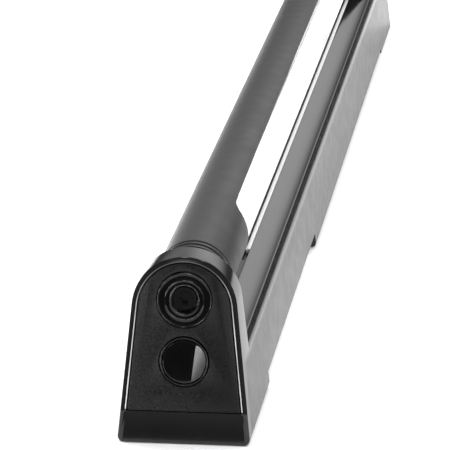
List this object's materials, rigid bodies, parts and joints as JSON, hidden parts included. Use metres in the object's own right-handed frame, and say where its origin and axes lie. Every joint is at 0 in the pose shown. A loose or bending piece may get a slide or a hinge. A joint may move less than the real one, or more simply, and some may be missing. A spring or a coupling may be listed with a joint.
{
  "type": "door closer",
  "caption": "Surface-mounted torsion-bar door closer: a turning tube between two end housings beside a slim rail, with a tension adjuster, a release button and a roller lever.",
  "frame": {"origin": "middle of the near foot's underside, on the mounting surface", "axes": "+Y along the closer from its near end to its far end, +Z away from the mounting surface, +X towards the rail's outer side"},
  "size_m": [0.0905, 0.4171, 0.0469],
  "materials": {
    "casting": "satin black powder coat",
    "tube": "fine matte black powder coat",
    "end_plate": "fine-textured black moulding",
    "gloss": "gloss black",
    "rings": "blackened steel",
    "steel": "ground bright steel",
    "dark_steel": "black-oxide steel",
    "bronze": "sintered bronze",
    "rubber": "matte black rubber",
    "strip": "pale nylon"
  },
  "bodies": {
    "root": {"near_housing": "casting", "near_end_plate": "end_plate", "rail": "casting", "buffer_strip": "strip", "far_housing": "casting", "far_end_plate": "end_plate", "far_plate_screw_1": "dark_steel", "far_plate_screw_2": "dark_steel", "adjuster_cup": "gloss", "button_ring": "rings", "button_spring": "steel", "pawl_pin": "steel", "near_bush": "bronze", "far_bush_1": "bronze", "far_bush_2": "bronze", "thrust_ring_1": "rings", "thrust_ring_2": "rings", "far_thrust_ring": "rings"},
    "tube": {"turning_tube": "tube", "thrust_ring_3": "rings", "torsion_bar": "steel", "damper_sleeve": "steel", "damper_seal": "rubber", "far_spindle": "dark_steel", "lever_arm": "casting", "lever_screw": "dark_steel", "spindle_washer": "steel", "spindle_screw": "dark_steel", "roller_axle": "steel", "roller_clip": "steel"},
    "roller_wheel": {"roller": "rubber"},
    "adjuster": {"adjuster_screw": "gloss", "adjuster_ratchet": "dark_steel", "bar_anchor": "dark_steel", "damper_rotor": "dark_steel"},
    "button": {"release_button": "gloss"},
    "pawl": {"latch_pawl": "dark_steel"}
  },
  "joints": [
    {"name": "tube_swing", "type": "hinge", "parent": "root", "child": "tube", "pos_m": [0, 0, 0.0339], "axis": [0, 1, 0], "range_deg": [0, 100], "stiffness_Nm_per_rad": 6.5, "springref_deg": -34.38},
    {"name": "roller_spin", "type": "hinge", "parent": "tube", "child": "roller_wheel", "pos_m": [-0.066, 0.3895, 0.0339], "axis": [0, 1, 0], "continuous": true},
    {"name": "adjuster_turn", "type": "hinge", "parent": "root", "child": "adjuster", "pos_m": [0, 0, 0.0339], "axis": [0, 1, 0], "range_deg": [-90, 180]},
    {"name": "button_press", "type": "slide", "parent": "root", "child": "button", "axis": [0, 0.9842, -0.1771], "range_m": [0, 0.0015], "stiffness_N_per_m": 500, "springref_m": -0.001, "deforming": ["button_spring"]},
    {"name": "pawl_tilt", "type": "hinge", "parent": "root", "child": "pawl", "pos_m": [0, -0.0082, 0.0233], "axis": [1, 0, 0], "range_deg": [0, 20]}
  ],
  "couplings": [
    {"joint": "pawl_tilt", "follows": "button_press", "rad_per_m": 216}
  ]
}
